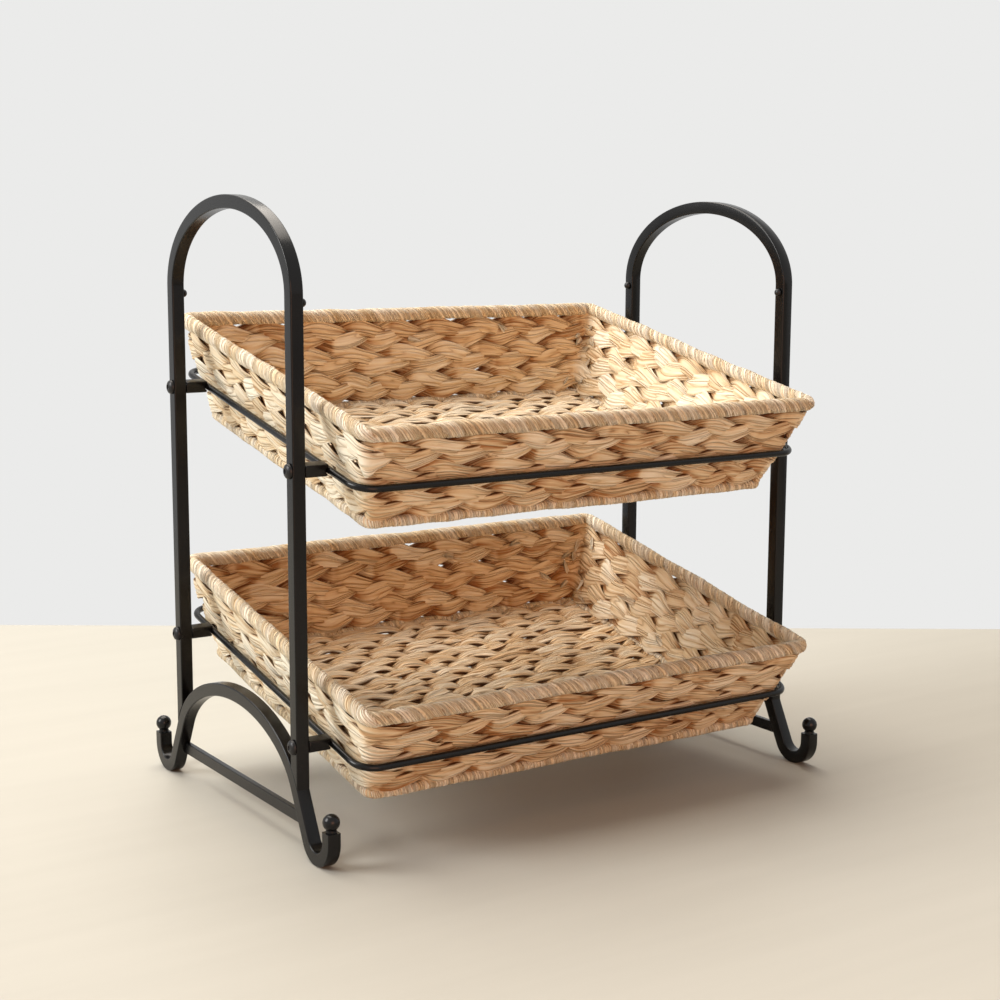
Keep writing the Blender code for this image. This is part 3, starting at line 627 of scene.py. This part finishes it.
def wound_loop(rng, tier, name, half_x, half_v, corner, w, radius, pitch, leads, count, around):
    """A rod wound with flat leaf. Leads is how many strips run side by side, which sets the turns' slant."""
    total, along, flat, flat_out = walk_loop(half_x, half_v, corner, count)
    share = along / total
    centre = tier.place(flat, w + 0.35 * MM * wander(rng, share, 3, 14))
    # Points run from the underside up the outer face, over the top and down the inner face
    theta = 2 * pi * np.arange(around) / around - pi / 2
    turns = round(total / pitch)
    place = share[:, None] * turns + leads * (theta[None] + pi / 2) / (2 * pi)
    place = place + 0.22 * wander(rng, share, 12, 60)[:, None] + 0.35 * wander(rng, share, 4, 20)[:, None]
    place = place + 0.12 * np.sin(3 * theta[None] + 6.0 * wander(rng, share, 10, 30)[:, None])
    index = np.floor(place).astype(int)
    local = place - index
    lot = rng.random(4096)
    pick = lot[index % len(lot)]
    folds = np.abs(np.sin(pi * local * 3.0 + 5.0 * pick))
    shingle = np.clip(local / 0.12, 0.0, 1.0) * (1.0 - 0.75 * local)
    swell = 0.28 * MM * wander(rng, share, 6, 40)[:, None]
    r = radius * (0.88 + 0.10 * shingle + 0.045 * folds + 0.05 * (pick - 0.5)) + swell
    rings = tier.round_rings(centre, flat_out, theta, r[..., None])
    # Painted light and shade: the raised part of each turn and the folds' crowns are paler, while the step
    # where a turn starts, by a random amount, and the folds' valleys are darker; each turn's own tone differs
    # at random
    tone = 0.60 + 0.45 * (pick - 0.5) + 0.18 * (folds - 0.6) + 0.10 * (shingle - 0.5)
    crease = np.clip(1.0 - local / 0.10, 0.0, 1.0) * (0.35 + 0.5 * lot[(index + 77) % len(lot)])
    crease = crease + 0.25 * np.clip(1.0 - folds / 0.3, 0.0, 1.0)
    lie = np.arange(around + 1) / around * 2 * pi * radius
    mesh = tube_mesh(name, rings[:, ::-1], True, np.append(along, total), lie,
                     {"tone": tone[:, ::-1], "crease": np.clip(crease, 0.0, 1.0)[:, ::-1]})
    # The leaf's fibres run round the rod at the turns' slant, so the map's long way is the way round
    layer = mesh.uv_layers["lie"].data
    uv = np.zeros(len(layer) * 2, np.float32)
    layer.foreach_get("uv", uv)
    uv = uv.reshape(-1, 2)[:, ::-1].copy()
    uv[:, 1] -= uv[:, 0] * leads * pitch / (2 * pi * radius)
    layer.foreach_set("uv", uv.reshape(-1))
    return show(f"{tier.name}_{name}", mesh, binding_leaf())


# Steel shapes

def select_only(piece):
    """Makes a piece the only selected and the active object."""
    bpy.ops.object.select_all(action="DESELECT")
    piece.select_set(True)
    bpy.context.view_layer.objects.active = piece


def apply_modifier(piece, kind, **settings):
    """Adds a modifier to a piece and applies it."""
    select_only(piece)
    bpy.ops.object.modifier_add(type=kind)
    for key, value in settings.items():
        setattr(piece.modifiers[-1], key, value)
    bpy.ops.object.modifier_apply(modifier=piece.modifiers[-1].name)


def edit_mesh(piece, *steps):
    """Uses mesh tools on the whole of a piece, each given as the tool and its settings."""
    select_only(piece)
    bpy.ops.object.mode_set(mode="EDIT")
    for tool, settings in steps:
        bpy.ops.mesh.select_all(action="SELECT")
        tool(**settings)
    bpy.ops.object.mode_set(mode="OBJECT")


def finish_steel(piece):
    """Smooth faces that keep their sharp edges, with normals that keep the flats flat."""
    select_only(piece)
    bpy.ops.object.shade_smooth_by_angle(angle=radians(46))
    apply_modifier(piece, "WEIGHTED_NORMAL", keep_sharp=True)
    return piece


def mirror_copy(piece, name):
    """A copy on the other side of the rack, with its own mesh."""
    twin = show(name, piece.data.copy(), piece.data.materials[0])
    return place_in_mesh(twin, Matrix.Scale(-1, 4, (1, 0, 0)))


def cut(piece, cutter):
    """Takes a cutter's shape out of a piece, and the cutter away."""
    apply_modifier(piece, "BOOLEAN", object=cutter, solver="EXACT")
    bpy.data.objects.remove(cutter)


def square_section(side, edge, steps=3):
    """A square with rolled edges, counter-clockwise."""
    half = side / 2 - edge
    points = []
    for quarter, (sx, sy) in enumerate([(1, 1), (-1, 1), (-1, -1), (1, -1)]):
        for step in range(steps + 1):
            angle = quarter * pi / 2 + step * pi / 2 / steps
            points.append((sx * half + edge * cos(angle), sy * half + edge * sin(angle)))
    return np.array(points)


def bent_bar(name, path, x):
    """Square bar bent along a path of depth and height, in a plane at x."""
    sizes = bpy.context.scene.rack_frame
    path = np.array([(x, y + sizes.middle, z) for y, z in path])
    tangent = unit(np.gradient(path, axis=0))
    face = np.cross(tangent, X_AXIS)
    section = square_section(sizes.bar, sizes.bar_edge)
    rings = path[:, None] + X_AXIS * section[None, :, :1] + face[:, None] * section[None, :, 1:]
    along = np.concatenate([[0.0], np.cumsum(np.linalg.norm(np.diff(path, axis=0), axis=1))])
    around = np.arange(len(section) + 1) * sizes.bar / 4
    return show(name, tube_mesh(name, rings, False, along, around, {}), powder_coated_steel())


def low_arch_half():
    """Centre line of the low arch, from the top of a leg to the middle."""
    sizes = bpy.context.scene.rack_frame
    half_span = sizes.reach + sizes.outset
    start = np.arctan(sizes.low_rise / half_span * tan(sizes.splay))
    angles = start + (pi / 2 - start) * np.linspace(0.0, 1.0, 33)
    return [(half_span * cos(a), sizes.apex - sizes.low_rise + sizes.low_rise * sin(a)) for a in angles]


def foot_middle():
    """Centre of the foot's arc, over depth and height."""
    sizes = bpy.context.scene.rack_frame
    y, z = low_arch_half()[0]
    height = sizes.foot * cos(sizes.foot_flat / 2) + sizes.bar / 2
    return y + (sizes.foot + (z - height) * sin(sizes.splay)) / cos(sizes.splay), height


def base_half():
    """Centre line of a base, from a foot's tip to the middle of the low arch."""
    sizes = bpy.context.scene.rack_frame
    y, z = foot_middle()
    half_flat = sizes.foot_flat / 2
    curl = np.concatenate([np.linspace(0.0, half_flat - pi / 2, 17),
                           np.linspace(-half_flat - pi / 2, sizes.splay - pi, 13)])
    tip = [(y + sizes.foot, height) for height in np.linspace(sizes.tip, z, 4)[:-1]]
    return tip + [(y + sizes.foot * cos(a), z + sizes.foot * sin(a)) for a in curl] + low_arch_half()


def mirrored(half):
    """A half path and its mirror image, which share the last point."""
    return half + [(-y, z) for y, z in reversed(half[:-1])]


def arch_bar(name, x):
    """The inverted U of one side frame, its ends coped to the low arch."""
    sizes = bpy.context.scene.rack_frame
    half = [(sizes.reach, z) for z in np.linspace(low_arch_half()[0][1] - sizes.bar, sizes.spring, 4)[:-1]]
    half += [(sizes.reach * cos(a), sizes.spring + sizes.rise * sin(a)) for a in np.linspace(0.0, pi / 2, 41)]
    piece = bent_bar(name, mirrored(half), x)
    y, z = foot_middle()
    leg_end = (y - sizes.foot * cos(sizes.splay), z - sizes.foot * sin(sizes.splay))
    path = np.array(mirrored([leg_end] + low_arch_half()))
    along = unit(np.gradient(path, axis=0))
    clearance = 0.1 * MM
    path = path + np.stack([along[:, 1], -along[:, 0]], 1) * (sizes.bar / 2 + clearance)
    corners = [(x + side * sizes.bar, y + sizes.middle, z) for side in (-1, 1) for y, z in path]
    count = len(path)
    faces = [tuple(range(count))[::-1], tuple(range(count, 2 * count))]
    faces += [(i, (i + 1) % count, count + (i + 1) % count, count + i) for i in range(count)]
    mesh = bpy.data.meshes.new("cope")
    mesh.from_pydata(corners, [], faces)
    cope = show("cope", mesh, powder_coated_steel())
    edit_mesh(cope, (bpy.ops.mesh.normals_make_consistent, {"inside": False}))
    cut(piece, cope)
    return piece


def wire_ring(tier):
    """Round wire bent into a tilted ring with rounded corners."""
    radius, sides = bpy.context.scene.rack_frame.wire, 20
    total, along, flat, flat_out = walk_loop(half_x=178.5 * MM, half_v=131.9 * MM, radius=14 * MM, count=260)
    theta = -2 * pi * np.arange(sides) / sides
    rings = tier.round_rings(tier.place(flat, 0.0), flat_out, theta, radius)
    around = np.arange(sides + 1) / sides * 2 * pi * radius
    mesh = tube_mesh("ring", rings, True, np.append(along, total), around, {})
    return show(tier.name + "_wire", mesh, powder_coated_steel())


def dome(radius, height, base, steps):
    """Profile of a round head from its top to its rim, over a base height."""
    return [(radius * sin(a), base + height * cos(a)) for a in np.linspace(0.0, pi / 2, steps)]


def lathe(name, profile, material, steps=40):
    """A profile of radius and height, spun about Z."""
    mesh = bpy.data.meshes.new(name)
    mesh.from_pydata([(r, 0.0, z) for r, z in profile], [(i, i + 1) for i in range(len(profile) - 1)], [])
    piece = show(name, mesh, material)
    turn = {"steps": steps, "angle": 2 * pi, "center": (0, 0, 0), "axis": (0, 0, 1)}
    edit_mesh(piece, (bpy.ops.mesh.spin, turn), (bpy.ops.mesh.remove_doubles, {"threshold": 0.01 * MM}),
              (bpy.ops.mesh.normals_make_consistent, {"inside": False}))
    return finish_steel(piece)


def foot_ball(name, place):
    """Forged ball on a neck and a collar. The place is the ball's top."""
    radius, neck = 5.5 * MM, 3.0 * MM
    low = pi - np.arcsin(neck / radius)
    profile = [(radius * sin(a), radius * cos(a) - radius) for a in np.linspace(0.0, low, 18)]
    base = profile[-1][1]
    collar = [(3.5, 0.5), (3.6, 0.8), (3.6, 1.4), (0.0, 1.4)]
    profile += [(neck, base - 0.4 * MM)] + [(r * MM, base - drop * MM) for r, drop in collar]
    return place_in_mesh(lathe(name, profile, powder_coated_steel()), Matrix.Translation(place))


def stud(name, place, side):
    """Round rivet head on a short shank, on an upright's inner face."""
    profile = dome(radius=2.8 * MM, height=2.7 * MM, base=1.0 * MM, steps=10)
    profile += [(2.6 * MM, 0.8 * MM), (1.5 * MM, 0.7 * MM), (1.5 * MM, -0.5 * MM), (0.0, -0.5 * MM)]
    piece = lathe(name, profile, black_oxide_steel(), 28)
    return place_in_mesh(piece, Matrix.Translation(place) @ Matrix.Rotation(-side * pi / 2, 4, "Y"))


def button_screw(name, place, side):
    """Button-head socket screw. The place is the middle of the head's underside."""
    profile = dome(radius=4.8 * MM, height=2.4 * MM, base=0.7 * MM, steps=12)
    profile += [(4.9 * MM, 0.55 * MM), (4.9 * MM, 0.15 * MM), (4.75 * MM, 0.0), (0.0, 0.0)]
    piece = lathe(name, profile, black_oxide_steel(), 32)
    bpy.ops.mesh.primitive_cylinder_add(vertices=6, radius=1.75 * MM, depth=3.4 * MM, location=(0, 0, 3.1 * MM))
    cut(piece, bpy.context.active_object)
    finish_steel(piece)
    return place_in_mesh(piece, Matrix.Translation(place) @ Matrix.Rotation(side * pi / 2, 4, "Y"))


def cad_copy(node, name):
    """A merged copy of a CAD node's mesh, for flat steel. A cross bar's edges are eased."""
    piece = show(name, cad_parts[node].data.copy(), powder_coated_steel())
    edit_mesh(piece, (bpy.ops.mesh.remove_doubles, {"threshold": 0.01 * MM}),
              (bpy.ops.mesh.dissolve_limited, {"angle_limit": radians(1)}))
    if node.endswith("cross_bar"):
        apply_modifier(piece, "BEVEL", width=0.5 * MM, segments=2)
    return finish_steel(piece)


# Operators

def dress(piece, node, body="rack"):
    """Rides a finished piece on its body in place of a CAD node."""
    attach(piece, body)
    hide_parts(node)


class RACK_OT_frames(bpy.types.Operator):
    """Bends the arches and the base scrolls, and adds the cross bars"""
    bl_idname = "rack.frames"
    bl_label = "Side frames"

    def execute(self, context):
        sizes = context.scene.rack_frame
        x = -sizes.spacing / 2
        arch = finish_steel(arch_bar("left_arch_bar", x))
        base = finish_steel(bent_bar("left_base_bar", mirrored(base_half()), x))
        cross = cad_copy("left_cross_bar", "left_cross_strip")
        for piece, node in ((arch, "arch_frame"), (base, "base_scroll"), (cross, "cross_bar")):
            dress(piece, "left_" + node)
            dress(mirror_copy(piece, piece.name.replace("left", "right")), "right_" + node)
        return {"FINISHED"}


class RACK_OT_rings(bpy.types.Operator):
    """Bends the wire rings and adds their arms"""
    bl_idname = "rack.rings"
    bl_label = "Rings and arms"

    def execute(self, context):
        for tier in tiers():
            dress(wire_ring(tier), tier.name + "_ring")
            for corner in CORNERS:
                node = f"{tier.name}_{corner}_arm"
                dress(cad_copy(node, node + "_bar"), node)
        return {"FINISHED"}


class RACK_OT_small_steel(bpy.types.Operator):
    """Spins the foot balls, the studs and the screws"""
    bl_idname = "rack.small_steel"
    bl_label = "Balls, studs and screws"

    def execute(self, context):
        sizes = context.scene.rack_frame
        head_gap = 0.3 * MM
        for corner in CORNERS:
            side = -1 if corner.startswith("left") else 1
            low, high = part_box(corner + "_foot_ball")
            top = Vector(((low.x + high.x) / 2, (low.y + high.y) / 2, high.z))
            dress(foot_ball(corner + "_ball", top), corner + "_foot_ball")
            middle = box_middle(corner + "_stud")
            middle.x = side * (sizes.spacing - sizes.bar) / 2
            dress(stud(corner + "_rivet", middle, side), corner + "_stud")
            for tier in ("lower", "upper"):
                node = f"{tier}_{corner}_screw"
                middle = box_middle(node)
                middle.x = side * ((sizes.spacing + sizes.bar) / 2 + head_gap)
                dress(button_screw(node + "_head", middle, side), node)
        return {"FINISHED"}


class RACK_OT_walls(bpy.types.Operator):
    """Plaits the walls of both baskets"""
    bl_idname = "rack.walls"
    bl_label = "Plaited walls"

    def execute(self, context):
        for tier in tiers():
            for row in range(WALL_ROWS):
                dress(wall_row(tier.draws(5, row), tier, row), tier.body + "_wall", tier.body)
            dress(leaf_ends(tier.draws(30), tier), tier.body + "_wall", tier.body)
        return {"FINISHED"}


class RACK_OT_floors(bpy.types.Operator):
    """Plaits the floors of both baskets"""
    bl_idname = "rack.floors"
    bl_label = "Plaited floors"

    def execute(self, context):
        for tier in tiers():
            rng = tier.draws(50)
            for first, last in ((0, 6), (6, FLOOR_ROWS)):
                dress(floor_rows(rng, tier, first, last), tier.body + "_floor", tier.body)
        return {"FINISHED"}


class RACK_OT_bindings(bpy.types.Operator):
    """Winds the rims and the bottom edges of both baskets"""
    bl_idname = "rack.bindings"
    bl_label = "Wound rims and base rods"

    def execute(self, context):
        sizes = context.scene.rack_basket
        for tier in tiers():
            rng = tier.draws(90)
            dress(wound_loop(rng, tier, "rim", half_x=180.22 * MM, half_v=136.02 * MM, corner=6.0 * MM,
                             w=36.9 * MM, radius=5.1 * MM, pitch=sizes.wrap, leads=3, count=1700, around=26),
                  tier.body + "_rim", tier.body)
            dress(wound_loop(rng, tier, "base_rod", half_x=160.88 * MM, half_v=116.68 * MM, corner=6.1 * MM,
                             w=-28.3 * MM, radius=3.6 * MM, pitch=4.6 * MM, leads=1, count=1900, around=18),
                  tier.body + "_base_rod", tier.body)
        return {"FINISHED"}


class RACK_OT_stage(bpy.types.Operator):
    """Sets the table, the light and the camera"""
    bl_idname = "rack.stage"
    bl_label = "Table, light and camera"

    def execute(self, context):
        scene = context.scene
        stage = scene.rack_stage
        scene.view_settings.view_transform = "Standard"
        backdrop = list(stage.backdrop) + [1.0]
        yaw, pitch, roll = radians(33.52), radians(8.795), radians(0.2425)
        place = Vector((-0.68557, -1.04564, 0.39370))
        heading = Vector((sin(yaw), cos(yaw), 0.0))
        camera = link_object("camera", bpy.data.cameras.new("camera"))
        camera.data.sensor_width = 36.0
        camera.data.lens = stage.lens
        camera.matrix_world = (Matrix.Translation(place) @ Matrix.Rotation(-yaw, 4, "Z")
                               @ Matrix.Rotation(pi / 2 - pitch, 4, "X") @ Matrix.Rotation(roll, 4, "Z"))
        scene.camera = camera

        # Table top, lime-washed pale wood under the rack, that ends behind it
        table = self.plane("table", place, heading, z=0.0, size=8.0, reach=1.712)
        material, tree = new_material("lime_washed_wood")
        # The wood's grain is some 25 mm wide and 330 mm long
        stretch = add(tree, "Mapping", {"Scale": (3.0, 40.0, 1.0), "Rotation": (0.0, 0.0, yaw)},
                      Vector=add(tree, "TexCoord").outputs["Object"])
        grain = add(tree, "TexNoise", {"Scale": 1.0, "Detail": 4.0}, Vector=stretch)
        tint = add(tree, "Mix", {"data_type": "RGBA", 6: list(stage.table) + [1.0], 7: srgb("c1bfb6")},
                   Factor=grain)
        shader = add(tree, "BsdfPrincipled", {"Roughness": 0.55, "Specular IOR Level": 0.3},
                     Base_Color=tint.outputs[2])
        add(tree, "OutputMaterial", Surface=shader)
        table.data.materials.append(material)

        # Matt paint round the table: one even tone with no gloss
        floor = self.plane("floor", place, heading, z=-2 * MM, size=30.0, reach=30.0)
        material, tree = new_material("matt_pale_paint")
        show_and_light(tree, "OutputMaterial", seen=add(tree, "Emission", {"Color": backdrop}),
                       lit=add(tree, "BsdfDiffuse", {"Color": backdrop}))
        floor.data.materials.append(material)

        scene.world = bpy.data.worlds.new("studio")
        scene.world.use_nodes = True
        tree = scene.world.node_tree
        tree.nodes.clear()
        show_and_light(tree, "OutputWorld", seen=add(tree, "Background", {"Color": backdrop}),
                       lit=add(tree, "Background", {"Color": srgb("fff2e6"), "Strength": 0.26}))

        self.lamp("window", Vector((-2.9, 0.9, 1.85)), size=1.8, power=107.0, code="fffefc")
        self.lamp("ceiling", Vector((0.0, 0.8, 2.3)), size=2.0, power=74.0, code="fff6ea")
        self.lamp("fill", Vector((-0.5, -2.4, 0.45)), size=1.4, power=21.0, code="ffb080")
        return {"FINISHED"}

    def plane(self, name, place, heading, z, size, reach):
        """A flat ground, square to the camera's heading: size behind and beside it, and reach before it."""
        side = Vector((heading.y, -heading.x, 0.0)) * size
        near = Vector((place.x, place.y, z)) - heading * size
        far = Vector((place.x, place.y, z)) + heading * reach
        corners = [near - side, near + side, far + side, far - side]
        mesh = bpy.data.meshes.new(name)
        mesh.from_pydata([tuple(c) for c in corners], [], [(0, 1, 2, 3)])
        return link_object(name, mesh)

    def lamp(self, name, place, size, power, code):
        """A square soft box that faces the rack's middle."""
        light = bpy.data.lights.new(name, "AREA")
        light.size = size
        light.energy = power
        light.color = srgb(code)[:3]
        aim = (Vector((0, 0, 0.18)) - place).to_track_quat("-Z", "Y").to_matrix().to_4x4()
        link_object(name, light).matrix_world = Matrix.Translation(place) @ aim


class RACK_PT_panel(bpy.types.Panel):
    """Shows the rack's settings and its building steps"""
    bl_label = "Basket rack"
    bl_idname = "RACK_PT_panel"
    bl_space_type = "VIEW_3D"
    bl_region_type = "UI"
    bl_category = "Rack"

    def draw(self, context):
        for group in ("rack_frame", "rack_basket", "rack_stage"):
            box = self.layout.box()
            settings = getattr(context.scene, group)
            for key in settings.bl_rna.properties.keys():
                if key not in ("rna_type", "name"):
                    box.prop(settings, key)
        for step in STEPS:
            self.layout.operator(step)


CLASSES = (RackFrameSettings, RackBasketSettings, RackStageSettings, RACK_OT_frames, RACK_OT_rings,
           RACK_OT_small_steel, RACK_OT_walls, RACK_OT_floors, RACK_OT_bindings, RACK_OT_stage, RACK_PT_panel)
STEPS = [item.bl_idname for item in CLASSES if issubclass(item, bpy.types.Operator)]


def register():
    for item in CLASSES:
        bpy.utils.register_class(item)
    bpy.types.Scene.rack_frame = PointerProperty(type=RackFrameSettings)
    bpy.types.Scene.rack_basket = PointerProperty(type=RackBasketSettings)
    bpy.types.Scene.rack_stage = PointerProperty(type=RackStageSettings)


def unregister():
    del bpy.types.Scene.rack_stage
    del bpy.types.Scene.rack_basket
    del bpy.types.Scene.rack_frame
    for item in reversed(CLASSES):
        bpy.utils.unregister_class(item)


def main():
    register()
    for step in STEPS:
        group, name = step.split(".")
        getattr(getattr(bpy.ops, group), name)()


if __name__ == "__main__":
    main()
